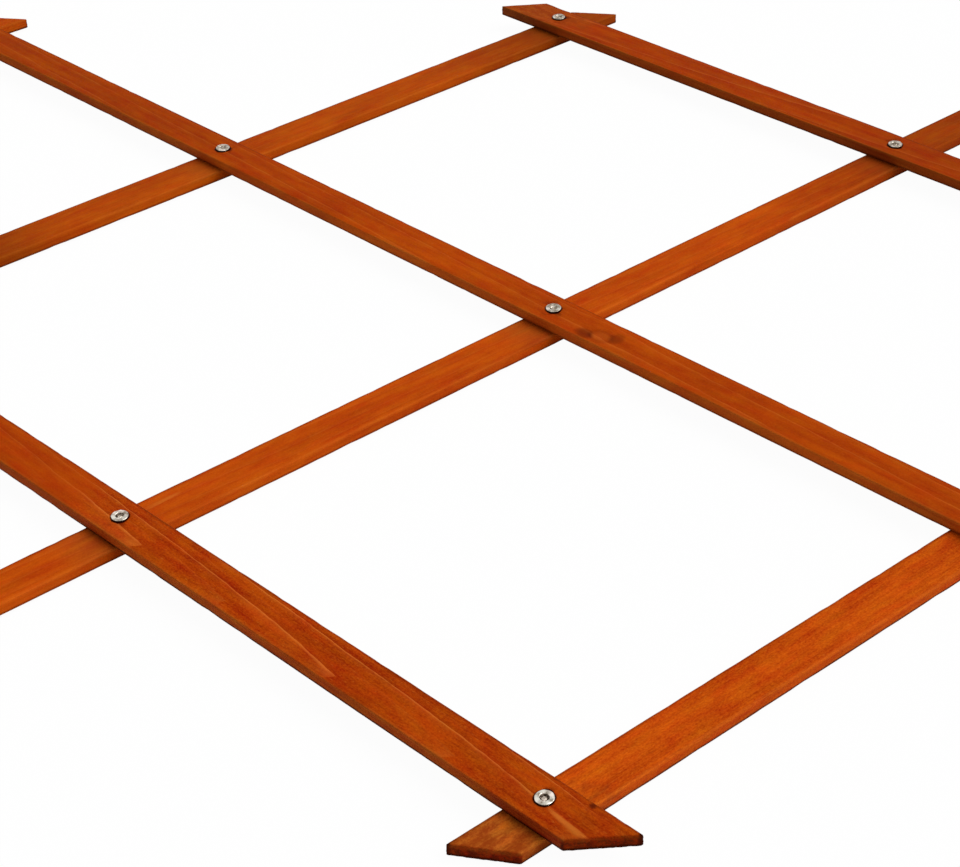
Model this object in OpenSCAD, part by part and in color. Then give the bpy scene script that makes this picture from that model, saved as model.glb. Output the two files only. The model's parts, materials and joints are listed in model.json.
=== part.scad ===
// Expanding garden trellis: two layers of mitred slats, pinned by one rivet at every crossing.
// The panel lies opened, with its back on the ground, its length along X and its front facing up.

/* [Lattice] */
// Distance between neighbouring rivets along a slat
rivet_pitch = 228; // [150:1:300]
// Angle between each slat and the panel's length, as it lies opened
open_angle = 41; // [25:1:65]
// Diamonds along the panel's length
diamonds_long = 5; // [3:1:7]
// Diamonds across the panel's width
diamonds_wide = 2; // [1:1:3]

/* [Slats] */
// Width of a slat
slat_width = 19.5; // [14:0.5:30]
// Thickness of a slat
slat_thickness = 5.5; // [4:0.1:8]
// Wood past the end rivet, along the middle of the slat
end_overhang = 26.5; // [20:0.5:45]
// Angle between a sawn end and the slat's length
mitre_angle = 48; // [40:1:60]
// Width of the eased corner along each long edge
arris = 0.5; // [0.2:0.1:1]

/* [Rivets] */
// Diameter of the shank
shank_d = 3.6; // [3:0.1:5]
// Wall around the tubular end of the shank
tube_wall = 0.55; // [0.4:0.05:0.8]
// Depth of the tubular hole below the face of the wood
tube_depth = 1.2; // [0.8:0.1:5]
// Outside diameter of the end that is rolled over on the front
roll_d = 7.2; // [6.4:0.1:9]
// Diameter of the flat head on the back
head_d = 7.6; // [6.4:0.1:10]
// Thickness of the flat head
head_h = 1.2; // [1:0.1:2]
// Radius around the rim of the flat head
head_rim = 0.8; // [0.3:0.1:0.9]

/* [Fits] */
// Radial clearance of the shank in its drilled holes
hole_clearance = 0.1; // [0.05:0.05:0.3]
// Play between the stacked faces that turn on each other
turning_play = 0.1; // [0.05:0.05:0.3]

/* [Hidden] */
$fn = 48;
// Crossings lie on rows 0 to last_row across the panel, and up to end_column half diamonds from its middle.
// Diamonds come whole, so a part of one is rounded
last_row = 2 * round(diamonds_wide);
end_column = round(diamonds_long);
slats_per_layer = end_column + last_row / 2;
half_diamond_x = rivet_pitch * cos(open_angle);
half_diamond_y = rivet_pitch * sin(open_angle);
// Heights of the undersides of the two layers, and of the front face
back_z = head_h + turning_play;
front_z = back_z + slat_thickness + turning_play;
face_z = front_z + slat_thickness;
// Drilled holes, and the rolled end as half a ring around the tube
hole_d = shank_d + 2 * hole_clearance;
bore_d = shank_d - 2 * tube_wall;
roll_r = (roll_d - bore_d) / 4;
roll_centre_r = (roll_d + bore_d) / 4;
// Half the difference in length between the two long edges at a sawn end
mitre_slope = slat_width / 2 / tan(mitre_angle);
// Cutters run this far past what they cut
past = 1;

stain_front = "#a8430d";
stain_back = "#b84d12";
bright_zinc = "#c8c8c4";

// Where a crossing lies, by its column and row
function crossing(column, row) = [column * half_diamond_x, (row - last_row / 2) * half_diamond_y, 0];

// Even rows start half a diamond in from the panel's ends
function rivets_in(row) = end_column + row % 2;
function rivet_column(row, k) = 2 * (k - 1) - (rivets_in(row) - 1);
function rivet_name(row, k) = str("rivet_row", row + 1, "_", k);

// The column at which a slat's line meets row 0, for the slats counted from the left
function front_start(k) = 2 * k - 1 - end_column;
function back_start(k) = 2 * k - 1 - end_column - last_row;

// A slat's outline from above, first rivet at the origin. A tip of 1 or -1 is the side of the longer edge
module slat_plan(span, low_tip, high_tip) {
    low = -end_overhang;
    high = span + end_overhang;
    linear_extrude(slat_thickness)
        polygon([
            [low + low_tip * mitre_slope, -slat_width / 2],
            [high - high_tip * mitre_slope, -slat_width / 2],
            [high + high_tip * mitre_slope, slat_width / 2],
            [low - low_tip * mitre_slope, slat_width / 2]
        ]);
}

// The planed section with its four eased corners, run past both sawn ends
module slat_stock(span) {
    side = slat_width / 2;
    run = end_overhang + mitre_slope + past;
    translate([-run, 0, 0])
        rotate([90, 0, 90])
            linear_extrude(span + 2 * run)
                polygon([
                    [-side + arris, 0],
                    [side - arris, 0],
                    [side, arris],
                    [side, slat_thickness - arris],
                    [side - arris, slat_thickness],
                    [-side + arris, slat_thickness],
                    [-side, slat_thickness - arris],
                    [-side, arris]
                ]);
}

// A slat with its sawn ends and a hole for every rivet, lying along X
module slat(gaps, low_tip, high_tip) {
    span = gaps * rivet_pitch;
    difference() {
        intersection() {
            slat_stock(span);
            slat_plan(span, low_tip, high_tip);
        }
        for (i = [0:gaps])
            translate([i * rivet_pitch, 0, -past])
                cylinder(d = hole_d, h = slat_thickness + 2 * past);
    }
}

// Ends are sawn along the edge of the panel that they reach: the long edges, or else the short ends
module front_slat(k) {
    start = front_start(k);
    first = max(0, start - end_column);
    last = min(last_row, start + end_column);
    low_tip = first == 0 ? -1 : 1;
    high_tip = last == last_row ? 1 : -1;
    color(stain_front)
        translate(crossing(start - first, first) + [0, 0, front_z])
            rotate(180 - open_angle)
                slat(last - first, low_tip, high_tip);
}

module back_slat(k) {
    start = back_start(k);
    first = max(0, -end_column - start);
    last = min(last_row, end_column - start);
    low_tip = first == 0 ? 1 : -1;
    high_tip = last == last_row ? -1 : 1;
    color(stain_back)
        translate(crossing(start + first, first) + [0, 0, back_z])
            rotate(open_angle)
                slat(last - first, low_tip, high_tip);
}

// Half the flat head's section, with its round rim
module head_section() {
    intersection() {
        square([head_d / 2, head_h]);
        union() {
            square([head_d / 2 - head_rim, head_h]);
            translate([0, head_rim])
                square([head_d / 2, head_h]);
            translate([head_d / 2 - head_rim, head_rim])
                circle(head_rim);
        }
    }
}

// Half the section of the tube's end, rolled outwards over the wood
module roll_section() {
    intersection() {
        translate([roll_centre_r, face_z])
            circle(roll_r);
        translate([0, face_z])
            square([roll_d, roll_d]);
    }
}

// Half the rivet's section: head, shank and rolled end, with the tubular hole bored down the middle
module rivet_section() {
    difference() {
        union() {
            head_section();
            square([shank_d / 2, face_z]);
            roll_section();
        }
        translate([0, face_z - tube_depth])
            square([bore_d / 2, tube_depth + roll_r + past]);
    }
}

module rivet(row, k) {
    color(bright_zinc)
        translate(crossing(rivet_column(row, k), row))
            rotate_extrude()
                rivet_section();
}

for (k = [1:slats_per_layer]) {
    front_slat(k);
    back_slat(k);
}
for (row = [0:last_row])
    for (k = [1:rivets_in(row)])
        rivet(row, k);
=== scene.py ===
import json
import math
import random

import bmesh
import bpy
from bpy.props import FloatProperty, FloatVectorProperty, IntProperty, PointerProperty
from mathutils import Matrix, Vector


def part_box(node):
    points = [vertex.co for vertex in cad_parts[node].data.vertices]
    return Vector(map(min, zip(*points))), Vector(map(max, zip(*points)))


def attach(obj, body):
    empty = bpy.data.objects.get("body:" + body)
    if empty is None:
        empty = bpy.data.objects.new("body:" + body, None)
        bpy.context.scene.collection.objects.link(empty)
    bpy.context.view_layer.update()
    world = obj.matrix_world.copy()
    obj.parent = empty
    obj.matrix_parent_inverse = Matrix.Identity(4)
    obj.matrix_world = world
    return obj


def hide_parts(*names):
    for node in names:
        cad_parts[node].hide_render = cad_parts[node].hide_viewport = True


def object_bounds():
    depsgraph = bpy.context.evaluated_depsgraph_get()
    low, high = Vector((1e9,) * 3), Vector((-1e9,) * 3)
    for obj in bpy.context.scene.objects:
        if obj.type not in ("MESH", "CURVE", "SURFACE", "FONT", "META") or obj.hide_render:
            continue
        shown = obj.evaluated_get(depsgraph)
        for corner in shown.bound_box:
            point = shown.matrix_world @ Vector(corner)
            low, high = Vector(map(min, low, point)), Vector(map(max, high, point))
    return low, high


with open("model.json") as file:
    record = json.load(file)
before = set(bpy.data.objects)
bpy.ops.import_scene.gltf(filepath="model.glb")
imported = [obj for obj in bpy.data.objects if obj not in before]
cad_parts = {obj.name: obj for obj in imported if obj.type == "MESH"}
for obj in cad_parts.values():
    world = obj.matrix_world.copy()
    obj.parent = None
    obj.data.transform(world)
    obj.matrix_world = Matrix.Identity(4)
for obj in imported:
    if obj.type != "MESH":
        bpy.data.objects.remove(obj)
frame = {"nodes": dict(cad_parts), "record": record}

bl_info = {
    "name": "Expanding garden trellis",
    "version": (1, 0, 0),
    "blender": (4, 5, 0),
    "location": "3D View > Sidebar > Trellis",
    "description": "Dresses the packed trellis with stained slats and rolled rivets",
    "category": "Object",
}

CAD_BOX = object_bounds()
MM = 0.001
TINY = 1e-6

BODY_OF = {
    node: body
    for body, nodes in frame["record"]["behaviour"]["bodies"].items() for node in nodes
}
RIVET_SPOTS = {
    node: sum(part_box(node), Vector()) / 2
    for node in sorted(frame["nodes"]) if node.startswith("rivet")
}

# Seeds of what is drawn by lot: the first lath of each layer, counted on from there, and the rivets
FIRST_LOT = {"front": 1, "back": 21}
RIVET_LOT = 27
# Laths are cut this far apart from the same endless timber
TIMBER_STEP = 1.3
# Edges that bend more than this stay sharp
LATH_CREASE = math.radians(32)
RIVET_CREASE = math.radians(40)
# Facets around a drilled hole
DRILL_STEPS = 36

# Reliefs that roughen the pieces: the size of their features, and how many layers of detail
RELIEFS = {
    "waver": (24 * MM, 3),
    "chips": (7 * MM, 2),
    "torn": (1.3 * MM, 2),
    "burr": (0.7 * MM, 2),
    "dinge": (1.8 * MM, 2),
}

# Features of the wood: mm along and across it, and the detail and roughness of their noise
FEATURES = {
    "drift": (70, 40, 1, 0.5),
    "jog": (9, 4, 3, 0.5),
    "fibre": (34, 1.5, 3, 0.6),
    "hair": (6, 0.35, 2, 0.5),
    "cloud": (7, 3.4, 2, 0.5),
    "mottle": (40, 13, 4, 0.5),
    "bands": (95, 5, 1, 0.5),
    "grit": (1.1, 0.7, 3, 0.65),
    "patches": (26, 14, 2, 0.5),
    "breaks": (8, 4, 2, 0.5),
    "pale_flecks": (2.4, 0.6, 1, 0.5),
    "dark_flecks": (5, 0.5, 1, 0.5),
    "ragged": (4, 1.2, 2, 0.5),
    "pores": (0.8, 0.8, 3, 0.5),
    "blots": (3, 3, 2, 0.5),
    "bleed": (5, 5, 1, 0.5),
    "flush": (13, 5, 2, 0.5),
}
# Boards with other seeds lie this many mm apart in the noise
SEED_STEP = 997.0


def seen(red, green, blue):
    """A colour as seen on a screen, 0 to 255, turned into the linear one that shaders take."""
    shares = [value / 255 for value in (red, green, blue)]
    return tuple(s / 12.92 if s <= 0.04045 else ((s + 0.055) / 1.055) ** 2.4 for s in shares)


def eased(share):
    """0 up to 0, 1 from 1 on, and eased between them."""
    share = min(1, max(0, share))
    return share * share * (3 - 2 * share)


class SlatSizes(bpy.types.PropertyGroup):
    """How the slats are planed, sawn and drilled."""

    arris: FloatProperty(
        name="Eased corner", description="Width of the rounding along each long edge",
        default=0.55 * MM, min=0.1 * MM, max=1.5 * MM, unit="LENGTH", precision=5)
    worn_end: FloatProperty(
        name="Worn end", description="Width of the rounding around each sawn end",
        default=0.4 * MM, min=0.1 * MM, max=1 * MM, unit="LENGTH", precision=5)
    station: FloatProperty(
        name="Station", description="Length of slat between the cross cuts of its mesh",
        default=3.2 * MM, min=1 * MM, max=20 * MM, unit="LENGTH", precision=5)
    waver: FloatProperty(
        name="Waver", description="How far the planed edges wander from straight",
        default=0.22 * MM, min=0, max=1 * MM, unit="LENGTH", precision=5)
    chips: FloatProperty(
        name="Chips", description="Depth of the small chips along the corners",
        default=0.18 * MM, min=0, max=1 * MM, unit="LENGTH", precision=5)
    torn: FloatProperty(
        name="Torn ends", description="How rough the saw left the ends",
        default=0.7 * MM, min=0, max=2 * MM, unit="LENGTH", precision=5)
    hole: FloatProperty(
        name="Rivet hole", description="Diameter of the drilled rivet holes",
        default=3.8 * MM, min=3 * MM, max=6 * MM, unit="LENGTH", precision=5)
    dent: FloatProperty(
        name="Rivet dent", description="Depth of the dent that a rivet presses into the wood",
        default=0.3 * MM, min=0.05 * MM, max=1 * MM, unit="LENGTH", precision=5)
    dent_width: FloatProperty(
        name="Dent width", description="Diameter of the dent around a rivet",
        default=8.8 * MM, min=7.6 * MM, max=12 * MM, unit="LENGTH", precision=5)


class StainColours(bpy.types.PropertyGroup):
    """The thin orange-brown stain and what shows through it, and the colours of painted shade."""

    front_deep: FloatVectorProperty(
        name="Front, deep", description="Front slats where the stain soaked in",
        subtype="COLOR", size=3, default=seen(140, 35, 0))
    front_pale: FloatVectorProperty(
        name="Front, pale", description="Front slats where the stain stayed thin",
        subtype="COLOR", size=3, default=seen(191, 76, 5))
    back_deep: FloatVectorProperty(
        name="Back, deep", description="Back slats where the stain soaked in",
        subtype="COLOR", size=3, default=seen(160, 48, 1))
    back_pale: FloatVectorProperty(
        name="Back, pale", description="Back slats where the stain stayed thin",
        subtype="COLOR", size=3, default=seen(215, 93, 11))
    late_wood: FloatVectorProperty(
        name="Late wood", description="The hard pale lines of the growth rings",
        subtype="COLOR", size=3, default=seen(214, 112, 42))
    early_wood: FloatVectorProperty(
        name="Early wood", description="The soft dark side of a growth ring",
        subtype="COLOR", size=3, default=seen(132, 34, 2))
    fleck: FloatVectorProperty(
        name="Fleck", description="Small fibres that took no stain",
        subtype="COLOR", size=3, default=seen(222, 132, 45))
    end_grain: FloatVectorProperty(
        name="End grain", description="Sawn ends, which drink the stain",
        subtype="COLOR", size=3, default=seen(88, 26, 4))
    knot: FloatVectorProperty(
        name="Knot", description="The dark rim of a knot",
        subtype="COLOR", size=3, default=seen(96, 26, 3))
    # painted shade along the far corners, and painted contact shade with gathered stain along the
    # bottom corners
    edge: FloatVectorProperty(
        name="Edge", description="Stain that gathered along the corners",
        subtype="COLOR", size=3, default=seen(62, 16, 1))
    worn: FloatVectorProperty(
        name="Worn", description="Stain dulled by weather near the ends",
        subtype="COLOR", size=3, default=seen(143, 60, 13))
    # crushed wood with painted contact shade, at a rivet's rim and along the foot of the sawn ends
    crush_and_shade: FloatVectorProperty(
        name="Bruise", description="Crushed wood around a rivet",
        subtype="COLOR", size=3, default=seen(50, 5, 1))
    # colour of the painted shadow that the front slats cast on the back slats beside each crossing
    crossing_shadow: FloatVectorProperty(
        name="Dust", description="Dust in the corners beside a slat that crosses",
        subtype="COLOR", size=3, default=seen(72, 66, 37))


class RivetSizes(bpy.types.PropertyGroup):
    """The rivets, rolled over on the front and flat on the back."""

    roll: FloatProperty(
        name="Rolled end", description="Outside diameter of the rolled end",
        default=7.2 * MM, min=6 * MM, max=9 * MM, unit="LENGTH", precision=5)
    crater: FloatProperty(
        name="Crater", description="Diameter of the crater inside the rolled end",
        default=3.4 * MM, min=2.5 * MM, max=5 * MM, unit="LENGTH", precision=5)
    crest: FloatProperty(
        name="Crest", description="Height of the rolled end above the wood",
        default=0.86 * MM, min=0.4 * MM, max=1.5 * MM, unit="LENGTH", precision=5)
    shank: FloatProperty(
        name="Shank", description="Diameter of the shank",
        default=3.6 * MM, min=3 * MM, max=5 * MM, unit="LENGTH", precision=5)
    head: FloatProperty(
        name="Flat head", description="Thickness of the flat head",
        default=1.2 * MM, min=0.8 * MM, max=2 * MM, unit="LENGTH", precision=5)
    head_rim: FloatProperty(
        name="Head rim", description="Radius around the rim of the flat head",
        default=0.8 * MM, min=0.3 * MM, max=1 * MM, unit="LENGTH", precision=5)
    burr: FloatProperty(
        name="Burr", description="How rough the metal is in the crater",
        default=0.7 * MM, min=0, max=1 * MM, unit="LENGTH", precision=5)
    dinge: FloatProperty(
        name="Dinges", description="How far the rolled end is beaten out of true",
        default=0.22 * MM, min=0, max=0.5 * MM, unit="LENGTH", precision=5)
    steps: IntProperty(
        name="Steps", description="Facets around a rivet", default=56, min=24, max=96)
    # the bright, cool and dull zinc blotches are partly the zinc's own finish, partly painted
    # reflection
    bright: FloatVectorProperty(
        name="Bright zinc", description="Burnished zinc on the rolled end",
        subtype="COLOR", size=3, default=(0.89, 0.785, 0.70))
    cool: FloatVectorProperty(
        name="Cool zinc", description="Zinc with a greenish cast",
        subtype="COLOR", size=3, default=(0.74, 0.715, 0.63))
    dull: FloatVectorProperty(
        name="Dull zinc", description="Zinc where it is left dull",
        subtype="COLOR", size=3, default=(0.25, 0.205, 0.155))
    # grime in the crater, and painted contact shadow where metal meets wood
    soot_and_shade: FloatVectorProperty(
        name="Grime", description="Grime in the crater and where metal meets wood",
        subtype="COLOR", size=3, default=(0.035, 0.018, 0.012))


class StageSettings(bpy.types.PropertyGroup):
    """Floor, light and camera."""

    lens: FloatProperty(
        name="Lens", description="Focal length",
        default=77.33, min=10, max=300, subtype="DISTANCE_CAMERA")
    sensor: FloatProperty(
        name="Sensor", description="Width of the camera's sensor",
        default=36, min=10, max=100, subtype="DISTANCE_CAMERA")
    aim: FloatVectorProperty(
        name="Aim", description="Point that the camera looks at",
        default=(-29.80 * MM, -94.02 * MM, 12.4 * MM), size=3, subtype="TRANSLATION")
    distance: FloatProperty(
        name="Distance", description="From the camera to its aim",
        default=863.64 * MM, unit="LENGTH")
    azimuth: FloatProperty(
        name="Azimuth", description="Turn of the camera around the panel",
        default=math.radians(3.408), subtype="ANGLE")
    elevation: FloatProperty(
        name="Elevation", description="Height of the camera",
        default=math.radians(37.037), subtype="ANGLE")
    roll: FloatProperty(
        name="Roll", description="Tilt of the camera",
        default=math.radians(-1.985), subtype="ANGLE")
    key: FloatProperty(
        name="Key light", description="Strength of the soft key light",
        default=2.62, min=0, max=10)
    key_spread: FloatProperty(
        name="Key spread", description="How wide the key light looks from the panel",
        default=math.radians(50), subtype="ANGLE")
    key_bearing: FloatProperty(
        name="Key bearing", description="Where the key light stands, from the panel's right",
        default=math.radians(6), subtype="ANGLE")
    key_height: FloatProperty(
        name="Key height", description="Height of the key light",
        default=math.radians(50), subtype="ANGLE")
    fill: FloatProperty(
        name="Fill light", description="Strength of the light from all around",
        default=0.36, min=0, max=2)
    floor_size: FloatProperty(
        name="Floor size", description="Length of the floor's sides",
        default=12, min=3, max=50, unit="LENGTH")
    floor_gap: FloatProperty(
        name="Floor gap", description="How far the floor lies below the rivets",
        default=0.2 * MM, min=0, max=10 * MM, unit="LENGTH", precision=5)
    floor_white: FloatProperty(
        name="Floor", description="How white the floor is",
        default=0.88, min=0, max=1, subtype="FACTOR")
    floor_glow: FloatProperty(
        name="White ground", description="How much of the floor's shadow the white ground hides",
        default=0.965, min=0, max=1, subtype="FACTOR")


class Wire:
    """A value on its way through a finish: arithmetic on it adds the Math nodes."""

    def __init__(self, finish, socket):
        self.finish = finish
        self.socket = socket

    def other(self, output):
        return Wire(self.finish, self.socket.node.outputs[output])

    def __add__(self, value):
        return self.finish.math("ADD", self, value)

    def __sub__(self, value):
        return self.finish.math("SUBTRACT", self, value)

    def __rsub__(self, value):
        return self.finish.math("SUBTRACT", value, self)

    def __mul__(self, value):
        return self.finish.math("MULTIPLY", self, value)

    def __truediv__(self, value):
        return self.finish.math("DIVIDE", self, value)

    def __rtruediv__(self, value):
        return self.finish.math("DIVIDE", value, self)

    __radd__ = __add__
    __rmul__ = __mul__


class Finish:
    """A material, wired up from nodes."""

    def __init__(self, name=None, tree=None):
        if tree is None:
            self.material = bpy.data.materials.new(name)
            self.material.use_nodes = True
            tree = self.material.node_tree
        self.tree = tree
        self.tree.nodes.clear()

    def node(self, kind, settings=(), inputs=(), output=0):
        made = self.tree.nodes.new("ShaderNode" + kind)
        for key, value in dict(settings).items():
            setattr(made, key, value)
        for key, value in dict(inputs).items():
            if isinstance(value, Wire):
                self.tree.links.new(value.socket, made.inputs[key])
            else:
                made.inputs[key].default_value = value
        return Wire(self, made.outputs[output]) if made.outputs else made

    def math(self, operation, *values):
        return self.node("Math", {"operation": operation}, enumerate(values))

    def limit(self, value):
        return self.node("Clamp", {}, {"Value": value})

    def fade(self, value, start, end):
        """0 at start, 1 at end, eased between them."""
        return self.node("MapRange", {"interpolation_type": "SMOOTHSTEP"},
                         {"Value": value, "From Min": start, "From Max": end})

    def mix(self, share, first, second):
        first, second = (c if isinstance(c, Wire) else (*c, 1) for c in (first, second))
        return self.node("Mix", {"data_type": "RGBA"}, {0: share, 6: first, 7: second}, 2)

    def mark(self, name):
        """A number that each point of the piece is marked with."""
        return self.node("Attribute", {"attribute_name": name}, (), "Fac")

    def marks(self, name):
        """Three numbers that each point of the piece is marked with."""
        vector = self.node("Attribute", {"attribute_name": name}, (), "Vector")
        made = self.node("SeparateXYZ", (), {0: vector})
        return made, made.other("Y"), made.other("Z")

    def noise(self, place, lengths, detail, roughness=0.5):
        """Noise with features of these lengths, from about 0 to 1."""
        scale = tuple(1 / length for length in lengths)
        stretched = self.node("Mapping", (), {"Vector": place, "Scale": scale})
        return self.node("TexNoise", (), {
            "Vector": stretched, "Scale": 1.0, "Detail": detail, "Roughness": roughness})

    def surface(self, shader):
        self.node("OutputMaterial", {"is_active_output": True}, {"Surface": shader})
        return self.material


class Wood(Finish):
    """Stained softwood, in mm along, across and up the slat."""

    def __init__(self, name, colours, slat):
        super().__init__(name)
        self.colours = colours
        self.half, self.thick = slat.half / MM, slat.thick / MM
        self.x, self.y, self.z = self.marks("board")
        self.start, seed, self.squeeze = self.marks("cut")
        self.tone, self.figure, self.ruddy = self.marks("tone")
        self.off_saw, self.worn, self.lean = self.marks("tips")
        self.rough = self.mark("rough")
        self.uneven = 0.3 + self.rough * 0.8
        knot_x, knot_y, self.knot_r = self.marks("knot")
        self.along, self.aside = self.x - knot_x, self.y - knot_y
        self.inset = self.half - self.math("ABSOLUTE", self.y)
        self.top = self.fade(self.z, self.thick - 1.4, self.thick - 0.8)
        self.place = self.node("CombineXYZ", (), {
            "X": self.x + seed * SEED_STEP, "Y": self.y, "Z": self.z})
        self.jog = self.swing("jog") * 1.3
        self.fibre = self.swing("fibre")
        self.hair = self.swing("hair")
        self.cloud = self.swing("cloud")
        self.mottle = self.swing("mottle")
        self.grit = self.swing("grit")
        self.ragged = self.swing("ragged") * 0.9
        self.pores = self.feature("pores")
        self.patchy = self.fade(self.feature("patches"), 0.25, 0.6)
        self.broken = self.fade(self.feature("breaks"), 0.2, 0.5)
        self.sawn = self.fade(self.off_saw + self.ragged, 0.8, 0.1)

    def feature(self, name):
        """One of the features of the wood, from about 0 to 1."""
        along, across, detail, roughness = FEATURES[name]
        return self.noise(self.place, (along, across, across), detail, roughness)

    def swing(self, name):
        """One of the features of the wood, from about -0.5 to 0.5."""
        return self.feature(name) - 0.5

    def rings(self):
        """Growth rings cut at a slant: their sharp lines, all that is pale, and what is dark."""
        heart, rise, gap = self.marks("rings")
        # fibres wander along the slat, jog now and then, and part around a knot
        ahead, beside = self.along / (self.knot_r * 4.5), self.aside / (self.knot_r * 2.2)
        parting = self.math("EXPONENT", 0 - (ahead * ahead + beside * beside))
        wander = self.y + self.swing("drift") * 2.6 + self.jog - self.aside * parting * 0.75
        blunt = 3.7 + wander * 0.15
        from_heart = self.math("ABSOLUTE", heart - wander)
        away = self.math("MAXIMUM", from_heart, blunt)
        under = self.fade(from_heart - blunt, 0.7, -0.7)

        # pale late wood breaks off sharply on the side of the last ring, with a weak ring halfway
        slant = self.x - self.start - away * away / rise + (self.thick - self.z) * 80.0 / rise
        turns = slant / gap
        phase = turns + self.math("MAXIMUM", turns - 1.0, 0.0) * self.squeeze
        ring = self.math("FRACT", phase)
        weak = self.math("FRACT", phase + 0.45)
        line = self.fade(ring, 0.09, 0.01) * self.fade(self.off_saw, 8, 22)
        line = line * (1 - under * 0.6) * self.fade(self.inset, 0.4, 2.2)
        glow = self.fade(ring, 0.40, 0.0)
        weak_line = self.fade(weak, 0.05, 0.0) * 0.5 + self.fade(weak, 0.25, 0.0) * 0.3
        pale = line * 0.58 * self.broken + (glow * 0.17 + weak_line * 0.22) * self.patchy
        dark = self.fade(ring, 0.72, 1.0) * 0.3
        return line, self.limit(pale * self.figure), self.limit(dark * self.figure)

    def streak(self):
        """A pale streak, sharp along one side, that runs out at its ends."""
        middle_x, middle_y, half_length = self.marks("streak")
        off = self.x - middle_x
        u = off / half_length
        v = (self.y - middle_y + off * self.lean) / (0.9 - u * 0.4)
        length = self.fade(u * u + self.jog * 0.5, 1.1, 0.1) * (0.7 + self.broken * 0.3)
        width = self.fade(v + self.jog * 0.4, -1.3, -0.5) * self.fade(v + self.jog * 0.8, 2.3, 0.2)
        return length * width * (0.14 + self.rough * 0.48 + u * 0.13)

    def stained(self, deep, pale, ring_light, ring_dark):
        """Stain that soaked in unevenly, with the growth rings and flecks that show through it."""
        broad = self.mottle * (0.7 + self.figure * 0.4) + self.swing("bands") * 0.5
        fine = self.cloud * 0.7 + self.fibre * 0.85 + self.hair * 0.35
        soak = self.limit(0.5 + broad + fine * self.uneven + self.grit * self.rough * 2.1)
        colour = self.mix(soak, deep, pale)
        colour = self.mix(ring_light, colour, self.colours.late_wood)
        colour = self.mix(ring_dark, colour, self.colours.early_wood)
        bare = self.fade(self.feature("pale_flecks"), 0.62, 0.80) * self.rough * 0.25
        colour = self.mix(self.limit(bare + self.streak()), colour, self.colours.fleck)
        full = self.fade(self.feature("dark_flecks"), 0.65, 0.78) * self.uneven * 0.3
        return self.mix(full, colour, self.colours.early_wood)

    def knotted(self, colour):
        """The knot: a pale eye between two dark smudges, or a dark pin knot."""
        def smudge(ahead, beside, length, width):
            u = (self.along / self.knot_r - ahead) / length
            v = (self.aside / self.knot_r - beside) / width
            return self.fade(u * u + v * v + self.jog, 1.7, 0.0)

        pin = self.fade(self.knot_r, 1.15, 0.95)
        eye = smudge(0, 0, 1.2, 0.95) * (1 - pin)
        beside_eye = smudge(2.3, 0.9, 1.4, 1.0) * 0.7 + smudge(-1.9, -0.9, 1.0, 1.2) * 0.5
        dark = beside_eye * (1 - pin) + smudge(0, 0, 1.7, 1.5) * (0.35 + pin * 0.6)
        colour = self.mix(self.limit(dark * (1 - eye * 0.8)), colour, self.colours.knot)
        return self.mix(eye * 0.12, colour, self.colours.late_wood)

    def weathered(self, colour):
        """Near the ends the stain is dulled by weather, and the saw cuts drank it; the foot of each
        cut is darkened with painted contact shade and dark stain.
        """
        colours, ragged = self.colours, self.ragged
        reached = self.fade(self.off_saw + self.cloud * 40, 40, 14) * self.worn
        reached = reached * self.fade(self.cloud + self.hair, 0.7, 0.0)
        bared = self.fade(self.cloud + self.fibre * 0.6 + self.grit * 0.8, -0.2, 0.4) * 0.47
        colour = self.mix(reached, colour, self.mix(bared, colours.worn, colours.fleck))
        blots = self.feature("blots")
        pored = self.fade(self.pores + blots, 0.8, 1.25)
        soaked = 0.5 + self.fade(self.thick - self.z + ragged, 0.2, 2.4) * 0.5
        soaked = soaked * (1 - self.fade(blots, 0.5, 0.8) * 0.2)
        end = self.mix(pored, colours.end_grain, colours.early_wood)
        colour = self.mix(self.sawn * soaked, colour, end)
        # painted contact shade with dark stain along the foot of the sawn ends
        foot = self.fade(self.z + ragged * 0.5, 1.7, 0.6)
        return self.mix(self.sawn * foot * 0.85, colour, colours.crush_and_shade)

    def edged_and_shaded(self, colour, far_side):
        """Painted shade along the corners: the upper corner and the ends' corners on the side away
        from the camera go dark, and the bottom corners carry painted contact shade with gathered
        stain; the upper corner on the near side is lighter, part rubbed wear and part painted
        highlight.
        """
        inset, off_saw, ragged = self.inset, self.off_saw, self.ragged
        low = self.fade(self.z, self.thick * 0.62, self.thick * 0.38)
        on_far_side = self.fade(self.y * far_side, -1.0, 1.0)
        upper = self.fade(inset + self.thick - self.z + ragged, 1.5, 0.5) * (1 - low)
        foot = self.fade(self.math("MINIMUM", inset, off_saw) + self.z + ragged * 0.7, 1.7, 0.8)
        tip = self.fade(inset + off_saw + ragged, 1.8, 0.6) * on_far_side
        # lighter upper corner on the near side: rubbed wear and painted highlight
        colour = self.mix(upper * (1 - on_far_side) * self.patchy * 0.13, colour, self.colours.fleck)
        # painted shade on the far upper corner and the ends' far corners; painted contact shade
        # with gathered stain at the foot
        dark = upper * on_far_side * 0.42 + foot * (0.35 + self.rough * 0.63) + tip * 0.85
        return self.mix(self.limit(dark), colour, self.colours.edge)

    def crushed_and_shaded(self, colour, past, rivets_on_top):
        """Wood is crushed and blackened under the rivets; the dark ring right at the rim of the
        rolled end is painted contact shade on the crushed wood, and the halo beyond it is stain
        that bled out.
        """
        bleed = self.swing("bleed")
        out = self.math("SQRT", past * past + self.y * self.y) - bleed * 1.6
        face = self.top if rivets_on_top else self.fade(self.z, 1.4, 0.8)
        halo = self.fade(out, 8.0, 4.0) * self.fade(bleed, 0.02, 0.16) * 0.45
        # painted contact shade with crushed wood in the ring at the rivet's rim
        crushed = self.limit(self.fade(out, 4.4, 3.8) * 0.95 + halo) * face
        return self.mix(crushed, colour, self.colours.crush_and_shade)

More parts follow.
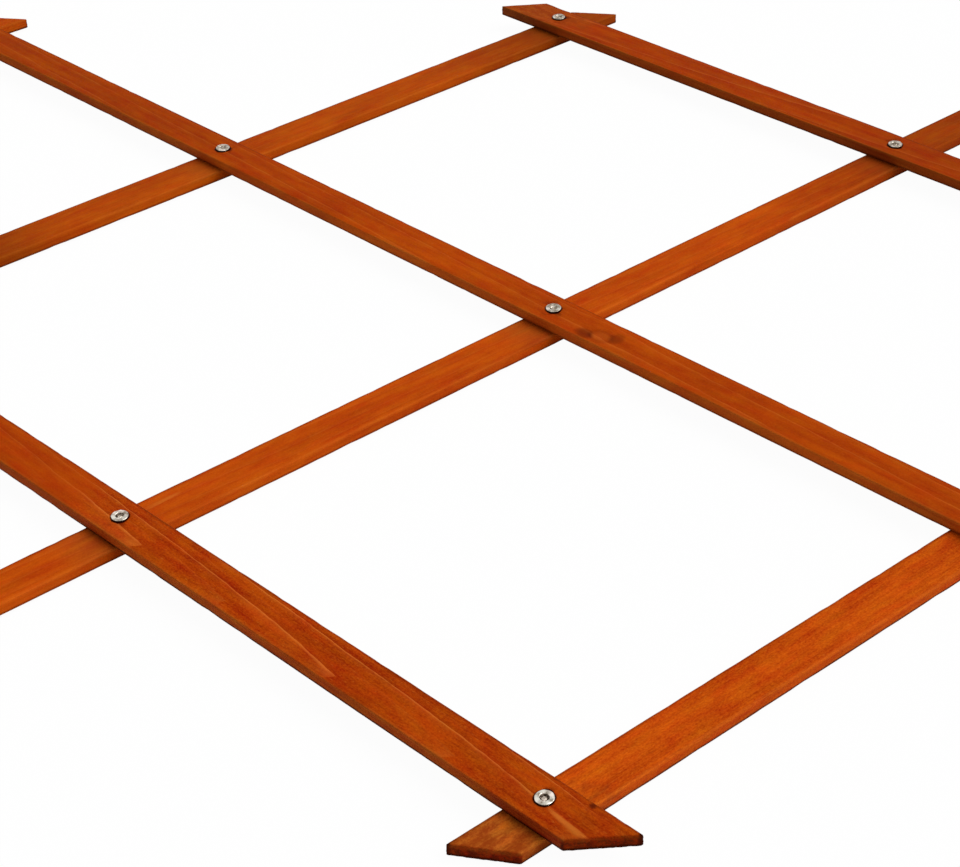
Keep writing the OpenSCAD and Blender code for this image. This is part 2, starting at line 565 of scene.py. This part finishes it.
    def shadowed_beside_crossings(self, colour, past, askew):
        """Painted shadow: the back slats go darker and duller just to the left of the front slats
        that cross at this angle, where those cast their shadow.
        """
        beside = 0 - past * math.sin(askew) - self.y * math.cos(askew)
        # painted shadow: 12 to 34 mm left of the crossing, on the top face, less where the end is
        # worn
        crossing_shadow = self.fade(beside, 34, 12) * self.fade(beside, 9, 10) * self.top * (1 - self.worn)
        return self.mix(crossing_shadow * 0.24, colour, self.colours.crossing_shadow)

    def toned_with_side_shade(self, colour, shaded_sides):
        """Each slat has its own tone; the front slats' sides carry painted shade, set slat by slat
        and deeper on rough slats near the saw cuts, through the end crossing.
        """
        side = self.fade(self.inset, 0.5, 0.1) * shaded_sides
        near_saw = side * self.rough * self.fade(self.off_saw, 28, 18)
        flush = self.swing("flush") * (0.012 + self.uneven * 0.01)
        hue = 0.5 + (self.ruddy - 0.5) * 0.02 + flush + side * 0.005 - near_saw * 0.008
        # painted shade on the front slats' sides
        value = self.tone * (1 + side * (self.mark("side_shade") - 1) - near_saw * 0.3)
        return self.node("HueSaturation", (), {
            "Hue": hue, "Saturation": 1 - side * 0.01, "Value": value, "Color": colour})


def wood_finish(name, deep, pale, colours, slat, front):
    """The stained wood of the front or the back layer, of which this is one slat."""
    w = Wood(name, colours, slat)
    line, ring_light, ring_dark = w.rings()
    pitch = slat.rivets[1] / MM
    past = w.x - w.math("ROUND", w.x / pitch) * pitch
    colour = w.stained(deep, pale, ring_light, ring_dark)
    colour = w.knotted(colour)
    colour = w.weathered(colour)
    # painted shade and highlight along the corners, by the side away from the camera
    colour = w.edged_and_shaded(colour, -1 if front else 1)
    # crushed wood and painted contact shade around the rivets
    colour = w.crushed_and_shaded(colour, past, front)
    # painted shadow of the front slats on the back slats beside each crossing
    if not front:
        colour = w.shadowed_beside_crossings(colour, past, 2 * slat.heading)
    # each slat's tone, and painted shade on the front slats' sides
    colour = w.toned_with_side_shade(colour, 1 if front else 0)
    roughness = 0.62 + w.mottle * 0.2 - ring_light * 0.1 + w.sawn * 0.15
    height = w.fibre * 0.5 + w.hair * 0.4 + w.grit * 0.5
    height = height + line * w.figure * 0.15 + w.sawn * w.pores * 1.5
    bump = w.node("Bump", (), {"Strength": 0.5, "Distance": 0.12 * MM, "Height": height})
    return w.surface(w.node("BsdfPrincipled", (), {
        "Base Color": colour, "Roughness": roughness, "Normal": bump, "Specular IOR Level": 0.02}))


def zinc_finish(name, sizes):
    """Bright zinc, in mm out from the rivet's axis and up from the wood, and by the turn."""
    f = Finish(name)
    out, up, turn = f.marks("turned")
    spot = f.node("TexCoord", (), (), "Object")

    def blots(size, detail):
        return f.noise(spot, (size * MM,) * 3, detail)

    speck = blots(0.4, 2)
    around = f.node("CombineXYZ", (), {"X": out, "Y": up, "Z": turn})
    drawn = f.noise(around, (0.12, 0.12, 1.1), 2) - 0.5
    front = f.fade(up, -1.5, -1.0)
    mouth = sizes.crater / 2 / MM
    crater = f.fade(out, mouth, mouth * 0.75) * front

    # burnished in places, dull in others: partly the zinc's own finish, partly painted reflection
    # of light and dark surroundings
    burnish_and_reflection = 0.66 + (blots(2.2, 2) - 0.5) * 3.3 + drawn * 0.6 + (speck - 0.5) * 0.6
    burnish_and_reflection = f.limit(burnish_and_reflection - crater * 0.35 - f.mark("dulled"))
    blush = f.fade(blots(3.2, 1), 0.42, 0.58)
    colour = f.mix(burnish_and_reflection, sizes.dull, f.mix(blush, sizes.cool, sizes.bright))

    # grime around the crater's floor and in the pits; under the lip, where metal meets wood,
    # painted contact shadow with grime
    arcs = f.fade(blots(2.6, 1), 0.40, 0.56)
    groove = f.fade(f.math("ABSOLUTE", out - mouth * 0.78), 0.5, 0.15) * front * arcs
    lip = f.fade(up, 0.82, 0.55) * f.fade(out, 3.15, 3.42) * front
    pits = f.fade(speck, 0.64, 0.72) * 0.5
    grime_and_lip_shade = f.limit(groove * 0.92 + lip * 0.93 + pits * (0.4 + crater))
    colour = f.mix(grime_and_lip_shade, colour, sizes.soot_and_shade)
    roughness = 0.26 + drawn * 0.2 + crater * 0.2 + pits * 0.2
    height = drawn * 0.4 + speck * (0.3 + crater)
    bump = f.node("Bump", (), {"Strength": 0.4, "Distance": 0.06 * MM, "Height": height})
    return f.surface(f.node("BsdfPrincipled", (), {
        "Base Color": colour, "Metallic": 1.0, "Roughness": roughness, "Normal": bump}))


def rays_that_see_white(f):
    """1 for what the camera, metal and glass see directly, 0 for light on its way to the panel."""
    path = f.node("LightPath", (), (), "Is Camera Ray")
    return f.limit(path + path.other("Is Glossy Ray") + path.other("Is Transmission Ray"))


def floor_finish(stage):
    f = Finish("pale_floor")
    matt = f.node("BsdfDiffuse", (), {"Color": (*(stage.floor_white,) * 3, 1)})
    white = f.node("Emission", (), {"Color": (1, 1, 1, 1), "Strength": 1.0})
    share = rays_that_see_white(f) * stage.floor_glow
    return f.surface(f.node("MixShader", (), {0: share, 1: matt, 2: white}))


class Slat:
    """Where a slat of the frame lies: along it from its first rivet, across it and up."""

    def __init__(self, node):
        self.node = node
        low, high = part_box(node)
        middle, size = (low + high) / 2, high - low
        lean = Vector((-size.x if node.startswith("front") else size.x, size.y, 0)).normalized()
        on_line = size.y * 0.1
        spots = []
        for spot in RIVET_SPOTS.values():
            off = spot - middle
            if abs(off.x) < size.x / 2 and abs(off.x * lean.y - off.y * lean.x) < on_line:
                spots.append(spot)
        if len(spots) < 2:
            raise RuntimeError(node + " has fewer than two rivets on its line")
        spots.sort(key=lambda spot: spot.y)
        run = spots[-1] - spots[0]
        self.heading = math.atan2(run.y, run.x)
        foot = Matrix.Translation((spots[0].x, spots[0].y, low.z))
        self.place = foot @ Matrix.Rotation(self.heading, 4, "Z")
        self.rivets = [(spot - spots[0]).xy.length for spot in spots]
        self.thick = size.z
        inwards = self.place.inverted()
        corners = [inwards @ v.co for v in frame["nodes"][node].data.vertices]
        self.half = max(c.y for c in corners)
        on_side = self.half * 0.99
        sides = [[c.x for c in corners if c.y * side > on_side] for side in (1, -1)]
        self.low_ends = [min(side) for side in sides]
        self.high_ends = [max(side) for side in sides]
        self.low, self.high = sum(self.low_ends) / 2, sum(self.high_ends) / 2

    def plane(self, extra):
        """Leaves the lath this much wider than its node."""
        share = 1 + extra / 2 / self.half
        for ends in (self.low_ends, self.high_ends):
            middle, lean = sum(ends) / 2, (ends[0] - ends[1]) / 2 * share
            ends[:] = [middle + lean, middle - lean]
        self.half *= share

    def saw_off(self, extra):
        """Leaves the short side of the lower end this much too long."""
        heel = self.low_ends.index(max(self.low_ends))
        self.low_ends[heel] -= extra
        self.low = sum(self.low_ends) / 2

    def off_saw(self, spot):
        """How far a point lies from the nearer saw cut."""
        least = self.high
        for ends, inwards in ((self.low_ends, 1), (self.high_ends, -1)):
            lean = (ends[0] - ends[1]) / (2 * self.half)
            cut = (ends[0] + ends[1]) / 2 + lean * spot.y
            least = min(least, (spot.x - cut) * inwards / math.hypot(1, lean))
        return max(0, least)

    def mitre(self, spot):
        """How far a point of the square bar slides along to put both ends on their saw cuts."""
        reach = 60 * MM
        slide = 0
        for end, ends in ((self.low, self.low_ends), (self.high, self.high_ends)):
            near = eased(1 - abs(spot.x - end) / reach)
            slide += near * (ends[0] - ends[1]) / 2 * spot.y / self.half
        return slide


def alone(piece):
    """Only this piece is selected."""
    bpy.ops.object.select_all(action="DESELECT")
    piece.select_set(True)
    bpy.context.view_layer.objects.active = piece


def edit(piece):
    alone(piece)
    bpy.ops.object.mode_set(mode="EDIT")


def done():
    bpy.ops.object.mode_set(mode="OBJECT")


def pick(piece, kind, test):
    """Selects the edges or faces of the piece in hand that pass a test."""
    bpy.ops.mesh.select_mode(type=kind)
    bpy.ops.mesh.select_all(action="DESELECT")
    mesh = bmesh.from_edit_mesh(piece.data)
    for part in mesh.edges if kind == "EDGE" else mesh.faces:
        if test(part):
            part.select_set(True)
    bmesh.update_edit_mesh(piece.data)


def runs_along(axis, shortest=0):
    """A test for edges that run along one axis."""
    straight = 0.999

    def test(edge):
        run = edge.verts[1].co - edge.verts[0].co
        return run.length > shortest and abs(run[axis]) > run.length * straight
    return test


def divide(piece, test, cuts):
    """Cuts the edges that pass a test into equal lengths."""
    pick(piece, "EDGE", test)
    bpy.ops.mesh.subdivide(number_cuts=cuts)


def apply(piece, kind, **settings):
    """Adds a modifier to the piece and applies it."""
    alone(piece)
    bpy.ops.object.modifier_add(type=kind)
    modifier = piece.modifiers[-1]
    for key, value in settings.items():
        setattr(modifier, key, value)
    bpy.ops.object.modifier_apply(modifier=modifier.name)


def relief(name):
    """One of the procedural reliefs, made once."""
    made = bpy.data.textures.get(name) or bpy.data.textures.new(name, "CLOUDS")
    made.noise_scale, made.noise_depth = RELIEFS[name]
    return made


def chip_relief():
    """Mostly nothing, with a small chip here and there."""
    chips = relief("chips")
    chips.use_color_ramp = True
    stops = chips.color_ramp.elements
    stops[0].position, stops[0].color = 0.56, (0, 0, 0, 1)
    stops[1].position, stops[1].color = 0.78, (1, 1, 1, 1)
    return chips


def roughen(piece, where, texture, direction, strength, level):
    """Pushes a vertex group of the piece in and out by a relief, which is flat at this level."""
    apply(piece, "DISPLACE", texture=texture, texture_coords="LOCAL", direction=direction,
          strength=strength, mid_level=level, vertex_group=where)


def group(piece, name, weight):
    """A vertex group from a function of a vertex's place."""
    made = piece.vertex_groups.new(name=name)
    for vertex in piece.data.vertices:
        share = weight(vertex.co)
        if share > 0:
            made.add([vertex.index], min(1.0, share), "REPLACE")
    return made.name


def mark(piece, name, rows):
    """Marks each point of the piece with a number or with three."""
    three = isinstance(rows[0], tuple)
    layer = piece.data.attributes.new(name, "FLOAT_VECTOR" if three else "FLOAT", "POINT")
    values = [value for row in rows for value in row] if three else rows
    layer.data.foreach_set("vector" if three else "value", values)


def turned(name, profile, steps):
    """A piece turned on a lathe, from its profile of radius and height."""
    bpy.ops.object.select_all(action="DESELECT")
    bpy.ops.mesh.primitive_plane_add(size=MM)
    piece = bpy.context.object
    piece.name = piece.data.name = name
    edit(piece)
    bpy.ops.mesh.select_mode(type="VERT")
    bpy.ops.mesh.select_all(action="SELECT")
    bpy.ops.mesh.merge(type="CENTER")
    points = [Vector((radius, 0, height)) for radius, height in profile]
    bpy.ops.transform.translate(value=points[0])
    for last, point in zip(points, points[1:]):
        bpy.ops.mesh.extrude_vertices_move(TRANSFORM_OT_translate={"value": point - last})
    bpy.ops.mesh.select_all(action="SELECT")
    bpy.ops.mesh.spin(steps=steps, angle=2 * math.pi, center=(0, 0, 0), axis=(0, 0, 1))
    bpy.ops.mesh.select_all(action="SELECT")
    bpy.ops.mesh.remove_doubles(threshold=TINY)
    bpy.ops.mesh.normals_make_consistent(inside=False)
    done()
    return piece


def drill(slat, sizes, from_above):
    """A cutter for one rivet hole with the dent that the rivet pressed into the wood."""
    past = MM
    radius, dent_radius, dent_steps = sizes.hole / 2, sizes.dent_width / 2, 5
    profile = [(0, -past), (radius, -past)]
    for step in range(dent_steps + 1):
        out = radius + (dent_radius - radius) * step / dent_steps
        profile.append((out, slat.thick - sizes.dent * (1 - (out / dent_radius) ** 2)))
    profile += [(dent_radius, slat.thick + past), (0, slat.thick + past)]
    if not from_above:
        profile = [(out, slat.thick - height) for out, height in reversed(profile)]
    return turned("drill", profile, DRILL_STEPS)


def planed_bar(slat, name, sizes):
    """The planed lath with eased corners, cut into stations, and its sawn ends."""
    most_stations_at_once, cuts_across, cuts_up = 90, 9, 3
    near_end, cuts_near_end, cuts_in_end = 9 * MM, 3, 2
    along = runs_along(0)

    def by_an_end(edge):
        return along(edge) and any(
            min(v.co.x - slat.low, slat.high - v.co.x) < near_end for v in edge.verts)

    length = slat.high - slat.low
    bpy.ops.object.select_all(action="DESELECT")
    bpy.ops.mesh.primitive_cube_add(
        size=1, location=((slat.low + slat.high) / 2, 0, slat.thick / 2),
        scale=(length, 2 * slat.half, slat.thick))
    bar = bpy.context.object
    bar.name = bar.data.name = name
    bpy.ops.object.transform_apply(location=True, rotation=True, scale=True)
    edit(bar)
    pick(bar, "EDGE", along)
    bpy.ops.mesh.bevel(offset=sizes.arris, offset_type="OFFSET", segments=3, affect="EDGES")
    pick(bar, "EDGE", lambda edge: abs(edge.verts[0].co.x - edge.verts[1].co.x) < TINY)
    bpy.ops.mesh.bevel(offset=sizes.worn_end, offset_type="OFFSET", segments=2, affect="EDGES")
    stations = length / sizes.station
    first = min(most_stations_at_once, round(stations))
    divide(bar, along, first - 1)
    if stations > first * 1.5:
        divide(bar, along, round(stations / first) - 1)
    divide(bar, by_an_end, cuts_near_end)
    divide(bar, runs_along(1, slat.half), cuts_across)
    divide(bar, runs_along(2, slat.thick / 2), cuts_up)
    pick(bar, "FACE", lambda face: abs(face.normal.x) > 0.9)
    bpy.ops.mesh.quads_convert_to_tris(ngon_method="BEAUTY")
    bpy.ops.mesh.subdivide(number_cuts=cuts_in_end)
    done()
    for vertex in bar.data.vertices:
        vertex.co.x += slat.mitre(vertex.co)
    return bar


def weather(bar, slat, sizes, stretch):
    """Wandering edges, chipped corners and torn ends, by this lath's own stretch of the timber."""
    side_depth, end_depth = 3 * MM, 2.2 * MM

    def inset(spot):
        return slat.half - abs(spot.y)

    def on_corner(spot):
        off_face = min(spot.z, slat.thick - spot.z)
        return inset(spot) + off_face < sizes.arris * 1.2

    sides = group(bar, "sides", lambda spot: 1 - inset(spot) / side_depth)
    corners = group(bar, "corners", on_corner)
    ends = group(bar, "ends", lambda spot: 1 - slat.off_saw(spot) / end_depth)
    bar.data.transform(Matrix.Translation((stretch, 0, 0)))
    roughen(bar, sides, relief("waver"), "Y", sizes.waver, 0.5)
    roughen(bar, corners, chip_relief(), "NORMAL", -sizes.chips, 0)
    roughen(bar, ends, relief("torn"), "X", sizes.torn, 0.5)
    bar.data.transform(Matrix.Translation((-stretch, 0, 0)))


def drilled(bar, slat, sizes, from_above):
    """Cuts the rivet holes with their dents."""
    first = drill(slat, sizes, from_above)
    cutters = [first]
    for spot in slat.rivets[1:]:
        alone(first)
        bpy.ops.object.duplicate(linked=False)
        copy = bpy.context.object
        copy.data.transform(Matrix.Translation((spot, 0, 0)))
        cutters.append(copy)
    alone(first)
    for cutter in cutters:
        cutter.select_set(True)
    bpy.ops.object.join()
    apply(bar, "BOOLEAN", object=first, operation="DIFFERENCE", solver="EXACT")
    bpy.data.objects.remove(first)


# Grain of the slats that are told apart by it, in mm. What isn't given here is drawn by lot.
# rings: their heart, rise and gap; cut: where it starts, its seed and how the rings crowd
# tone: tone, figure and ruddiness; side_shade: painted shade on the sides of the front slats
# darkening: from where to where along the slat the tone falls, and by how much: partly stain,
# partly painted shade by the far crossings
# knot: along, across and its radius; streak: along, across and half its length; lean: of the streak
# rough, worn: how rough the face is and how worn the ends are; calm: where the grain grows calm
# wide, heel: how much the lath was left too wide, and the short side of its lower end too long
GRAIN = {
    "front_slat_3": {
        "rings": (10, 1.64, 134), "cut": (-50, 3, 0.207), "tone": (0.965, 1.0, 0.5),
        "darkening": [(100, 70, 0.07)], "knot": (-14.4, -8.2, 0.85), "streak": (-13, 3.4, 11),
        "lean": 0.1, "rough": 0.85, "worn": 0, "calm": 236, "wide": 0.45, "heel": -0.8,
    },
    "front_slat_4": {
        "rings": (30, 2.6, 210), "cut": (-60, 4, 0), "tone": (0.995, 0.35, 0.6), "side_shade": 1.1,
        "darkening": [(630, 740, 0.15)], "knot": (425.2, 2.8, 3.4), "rough": 0.3, "wide": -0.35,
    },
    "front_slat_5": {
        "rings": (-14, 2.2, 170), "cut": (20, 5, 0), "tone": (0.885, 0.45, 0.5), "side_shade": 0.75,
        "darkening": [(770, 650, 0.12)], "rough": 0.3, "wide": 0,
    },
    "back_slat_2": {"tone": (0.78, 0.4, 0.5)},
    "back_slat_3": {
        "rings": (-40, 1.8, 150), "cut": (35, 23, 0), "tone": (0.825, 0.3, 0.6),
        "darkening": [(808, 895, 0.32), (594, 550, 0.35)], "rough": 0.3, "worn": 0.1, "wide": 0,
    },
    "back_slat_4": {
        "rings": (24, 1.9, 160), "cut": (15, 24, 0), "tone": (0.935, 0.3, 0.5),
        "darkening": [(575, 715, 0.38)], "streak": (249.8, 3.8, 10), "lean": -0.03,
        "rough": 0.32, "worn": 0.1, "wide": -0.3,
    },
    "back_slat_5": {
        "rings": (62, 1.64, 150), "cut": (0, 25, 0), "tone": (0.99, 0.2, 0.5),
        "rough": 0.8, "worn": 0.9, "wide": 0.1, "heel": 1.0,
    },
}
NEVER = 5000
NOWHERE = (-5000, 0, 1)


def grain_of(slat, number):
    """The chosen grain, or one drawn by lot from the slat's number."""
    lot = random.Random(number)
    side = lot.choice((-1, 1))
    drawn = {
        "rings": (side * lot.uniform(8, 60), lot.uniform(1.4, 2.6), lot.uniform(110, 190)),
        "cut": (lot.uniform(-80, 80), number, lot.uniform(0, 0.3)),
        "tone": (lot.uniform(0.93, 1.04), lot.uniform(0.4, 0.9), lot.uniform(0.3, 0.7)),
        "side_shade": 1.02,
        "darkening": [],
        "knot": NOWHERE,
        "streak": NOWHERE,
        "lean": 0,
        "rough": lot.uniform(0.5, 0.9),
        "worn": lot.uniform(0, 0.6),
        "calm": NEVER,
        "wide": lot.uniform(-0.4, -0.1),
        "heel": lot.uniform(-0.8, 0.8),
    }
    if lot.random() < 0.5 and slat.node not in GRAIN:
        along = lot.uniform(0.1, 0.9) * slat.rivets[-1] / MM
        drawn["knot"] = (along, lot.uniform(-6, 6), lot.uniform(1.2, 2.6))
    drawn.update(GRAIN.get(slat.node, {}))
    return drawn


def calmed(past):
    """What is left of the figure this many mm past the point where the grain grows calm."""
    run, lost = 22, 0.7
    return 1 - eased(past / run) * lost


def darkened(along, ramps):
    """What is left of the tone this many mm along a slat where it darkens: partly the stain's own
    tone, partly painted shade near the far crossings.
    """
    left = 1
    for first, last, share in ramps:
        left *= 1 - share * eased((along - first) / (last - first))
    return left


def mark_grain(bar, slat, grain):
    """What the wood finish reads: places on the board, its grain, and how far the saw cuts are."""
    points = [v.co.copy() for v in bar.data.vertices]
    across = (slat.half - grain["wide"] * MM / 2) / slat.half
    mark(bar, "board", [(spot.x / MM, spot.y / MM * across, spot.z / MM) for spot in points])
    left = [calmed(spot.x / MM - grain["calm"]) for spot in points]
    mark(bar, "rough", [grain["rough"] * share for share in left])
    for name in ("rings", "cut", "knot", "streak", "side_shade"):
        mark(bar, name, [grain[name]] * len(points))
    tone, figure, ruddy = grain["tone"]
    mark(bar, "tone", [(tone * darkened(spot.x / MM, grain["darkening"]), figure * share, ruddy)
                       for spot, share in zip(points, left)])
    mark(bar, "tips", [(slat.off_saw(spot) / MM, grain["worn"], grain["lean"]) for spot in points])


def make_slats(context, layer, deep, pale):
    """Models every slat of one layer in the place of its node."""
    sizes = context.scene.trellis_slats
    front = layer == "front"
    names = sorted(node for node in frame["nodes"] if node.startswith(layer))
    if not names:
        raise RuntimeError("the frame has no slats in the " + layer + " layer")
    colours = context.scene.trellis_stain
    finish = wood_finish(layer + "_stain", deep, pale, colours, Slat(names[0]), front)
    for number, node in enumerate(names, FIRST_LOT[layer]):
        slat = Slat(node)
        grain = grain_of(slat, number)
        slat.plane(grain["wide"] * MM)
        slat.saw_off(grain["heel"] * MM)
        bar = planed_bar(slat, node.replace("slat", "lath"), sizes)
        weather(bar, slat, sizes, number * TIMBER_STEP)
        drilled(bar, slat, sizes, front)
        mark_grain(bar, slat, grain)
        bar.vertex_groups.clear()
        bar.data.materials.clear()
        bar.data.materials.append(finish)
        bar.data.transform(slat.place)
        alone(bar)
        bpy.ops.object.shade_smooth_by_angle(angle=LATH_CREASE)
        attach(bar, BODY_OF[node])
        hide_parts(node)


class TRELLIS_OT_front_slats(bpy.types.Operator):
    """Makes the stained slats of the front layer"""

    bl_idname = "trellis.front_slats"
    bl_label = "Front slats"

    def execute(self, context):
        colours = context.scene.trellis_stain
        make_slats(context, "front", colours.front_deep, colours.front_pale)
        return {"FINISHED"}


class TRELLIS_OT_back_slats(bpy.types.Operator):
    """Makes the stained slats of the back layer"""

    bl_idname = "trellis.back_slats"
    bl_label = "Back slats"

    def execute(self, context):
        colours = context.scene.trellis_stain
        make_slats(context, "back", colours.back_deep, colours.back_pale)
        return {"FINISHED"}


# How far the weather dulled the rivets that are told apart by it, and the most that a lot gives
DULLED = {
    "rivet_row1_3": 0, "rivet_row2_3": 0.08, "rivet_row3_3": 0.38, "rivet_row4_3": 0.26,
    "rivet_row4_4": 0.45, "rivet_row5_3": 0.47,
}
MOST_DULLED = 0.35


def rivet_profile(sizes, face, head_radius):
    """Half a rivet's outline, up from the middle of its flat head and down into its crater."""
    def arc(middle, height, radius, first, last, count):
        turns = [math.radians(first + (last - first) * i / count) for i in range(count + 1)]
        return [(middle + radius * math.cos(a), height + radius * math.sin(a)) for a in turns]

    rim = sizes.head_rim
    half_roll, half_crater, half_shank = sizes.roll / 2, sizes.crater / 2, sizes.shank / 2
    top, edge, lip = face + sizes.crest, 0.32 * MM, 0.3 * MM
    middle = (half_roll + half_crater) / 2
    # the flat head
    profile = [(0, 0), (head_radius * 0.4, 0)]
    profile += arc(head_radius - rim, rim, rim, -90, 0, 6)
    profile += [(head_radius - 0.05 * MM, sizes.head - 0.1 * MM)]
    profile += [(head_radius - 0.15 * MM, sizes.head), (half_shank, sizes.head)]
    # the shank, which widens into the rolled end
    profile += [(half_shank, face - 0.15 * MM), (half_shank + 0.2 * MM, face)]
    profile += [(half_roll - 0.3 * MM, face - 0.03 * MM), (half_roll - 0.06 * MM, face + 0.08 * MM)]
    profile += arc(half_roll - edge, top - edge - 0.06 * MM, edge, -20, 75, 6)
    profile += [(middle + 0.4 * MM, top - 0.02 * MM), (middle, top), (middle - 0.3 * MM, top)]
    profile += arc(half_crater + lip, top - lip, lip, 100, 170, 5)
    # the crater, as shares of its radius and of the crest's height
    bowl = [(0.96, 0.35), (0.87, 0.10), (0.78, 0.0), (0.69, 0.02), (0.60, 0.18), (0.50, 0.38),
            (0.38, 0.46), (0.20, 0.48), (0, 0.47)]
    profile += [(half_crater * out, face + sizes.crest * up) for out, up in bowl]
    return profile


def dinged(pattern, name, sizes, face, lot):
    """A copy of the pattern with a burr in its crater and dinges around it, turned by lot."""
    alone(pattern)
    bpy.ops.object.duplicate(linked=False)
    rivet = bpy.context.object
    rivet.name = rivet.data.name = name
    crater, above_wood = sizes.crater * 0.45, face + 0.1 * MM
    core = group(rivet, "core", lambda at: at.z > face and math.hypot(at.x, at.y) < crater)
    ring = group(rivet, "ring", lambda at: at.z > above_wood and math.hypot(at.x, at.y) > crater)
    shift = Matrix.Translation((lot.uniform(-1, 1), lot.uniform(-1, 1), 0))
    turn = Matrix.Rotation(lot.uniform(0, 2 * math.pi), 4, "Z")
    rivet.data.transform(shift)
    roughen(rivet, core, relief("burr"), "Z", sizes.burr, 0.5)
    roughen(rivet, ring, relief("dinge"), "NORMAL", sizes.dinge, 0.6)
    rivet.data.transform(turn @ shift.inverted())
    rivet.vertex_groups.clear()
    return rivet


class TRELLIS_OT_rivets(bpy.types.Operator):
    """Makes one rolled rivet and sets a copy of it in every crossing"""

    bl_idname = "trellis.rivets"
    bl_label = "Rivets"

    def execute(self, context):
        sizes = context.scene.trellis_rivets
        if not RIVET_SPOTS:
            raise RuntimeError("the frame has no rivets")
        face = max(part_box(node)[1].z for node in frame["nodes"] if node.startswith("front"))
        low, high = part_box(next(iter(RIVET_SPOTS)))
        profile = rivet_profile(sizes, face, (high.x - low.x) / 2)
        pattern = turned("rivet_pattern", profile, sizes.steps)
        pattern.data.materials.append(zinc_finish("bright_zinc", sizes))
        lot = random.Random(RIVET_LOT)
        for node, spot in RIVET_SPOTS.items():
            rivet = dinged(pattern, node.replace("rivet", "rolled_rivet"), sizes, face, lot)
            points = [v.co.copy() for v in rivet.data.vertices]
            mark(rivet, "turned", [
                (math.hypot(at.x, at.y) / MM, (at.z - face) / MM, math.atan2(at.y, at.x))
                for at in points])
            dulled = DULLED.get(node, lot.uniform(0, MOST_DULLED))
            mark(rivet, "dulled", [dulled] * len(points))
            rivet.data.transform(Matrix.Translation((spot.x, spot.y, 0)))
            alone(rivet)
            bpy.ops.object.shade_smooth_by_angle(angle=RIVET_CREASE)
            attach(rivet, BODY_OF[node])
            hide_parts(node)
        bpy.data.objects.remove(pattern)
        return {"FINISHED"}


class TRELLIS_OT_stage(bpy.types.Operator):
    """Sets the floor, the light and the camera"""

    bl_idname = "trellis.stage"
    bl_label = "Stage"

    def execute(self, context):
        stage = context.scene.trellis_stage
        bpy.ops.object.select_all(action="DESELECT")
        bpy.ops.mesh.primitive_plane_add(
            size=stage.floor_size, location=(0, 0, CAD_BOX[0].z - stage.floor_gap))
        floor = context.object
        floor.name = "floor"
        floor.data.materials.append(floor_finish(stage))

        world = bpy.data.worlds.new("studio")
        context.scene.world = world
        world.use_nodes = True
        f = Finish(tree=world.node_tree)
        strength = stage.fill + rays_that_see_white(f) * (1 - stage.fill)
        background = f.node("Background", (), {"Color": (1, 1, 1, 1), "Strength": strength})
        f.node("OutputWorld", (), {"Surface": background})

        bpy.ops.object.light_add(type="SUN")
        lamp = context.object
        lamp.name = "key_light"
        lamp.data.energy = stage.key
        lamp.data.angle = stage.key_spread
        lamp.rotation_euler = (math.pi / 2 - stage.key_height, 0, math.pi / 2 + stage.key_bearing)

        turn = (Matrix.Rotation(stage.azimuth, 4, "Z")
                @ Matrix.Rotation(math.pi / 2 - stage.elevation, 4, "X")
                @ Matrix.Rotation(stage.roll, 4, "Z"))
        bpy.ops.object.camera_add()
        camera = context.object
        camera.name = "camera"
        back = turn @ Vector((0, 0, stage.distance))
        camera.matrix_world = Matrix.Translation(Vector(stage.aim) + back) @ turn
        camera.data.sensor_fit = "HORIZONTAL"
        camera.data.sensor_width = stage.sensor
        camera.data.lens = stage.lens
        camera.data.clip_start = 10 * MM
        context.scene.camera = camera
        context.scene.view_settings.view_transform = "Standard"
        return {"FINISHED"}


class TRELLIS_PT_sidebar(bpy.types.Panel):
    """Lists the makers of the trellis"""

    bl_label = "Trellis"
    bl_idname = "TRELLIS_PT_sidebar"
    bl_space_type = "VIEW_3D"
    bl_region_type = "UI"
    bl_category = "Trellis"

    def draw(self, context):
        for maker in MAKERS:
            self.layout.operator(maker.bl_idname)
        for holder in HOLDERS:
            settings = getattr(context.scene, holder)
            box = self.layout.box()
            for key in settings.bl_rna.properties.keys():
                if key not in ("rna_type", "name"):
                    box.prop(settings, key)


MAKERS = (TRELLIS_OT_front_slats, TRELLIS_OT_back_slats, TRELLIS_OT_rivets, TRELLIS_OT_stage)
HOLDERS = {
    "trellis_slats": SlatSizes, "trellis_stain": StainColours,
    "trellis_rivets": RivetSizes, "trellis_stage": StageSettings,
}
CLASSES = (*HOLDERS.values(), *MAKERS, TRELLIS_PT_sidebar)


def register():
    for kind in CLASSES:
        bpy.utils.register_class(kind)
    for holder, kind in HOLDERS.items():
        setattr(bpy.types.Scene, holder, PointerProperty(type=kind))


def unregister():
    for holder in HOLDERS:
        delattr(bpy.types.Scene, holder)
    for kind in reversed(CLASSES):
        bpy.utils.unregister_class(kind)


def main():
    register()
    bpy.ops.trellis.front_slats()
    bpy.ops.trellis.back_slats()
    bpy.ops.trellis.rivets()
    bpy.ops.trellis.stage()


if __name__ == "__main__":
    main()
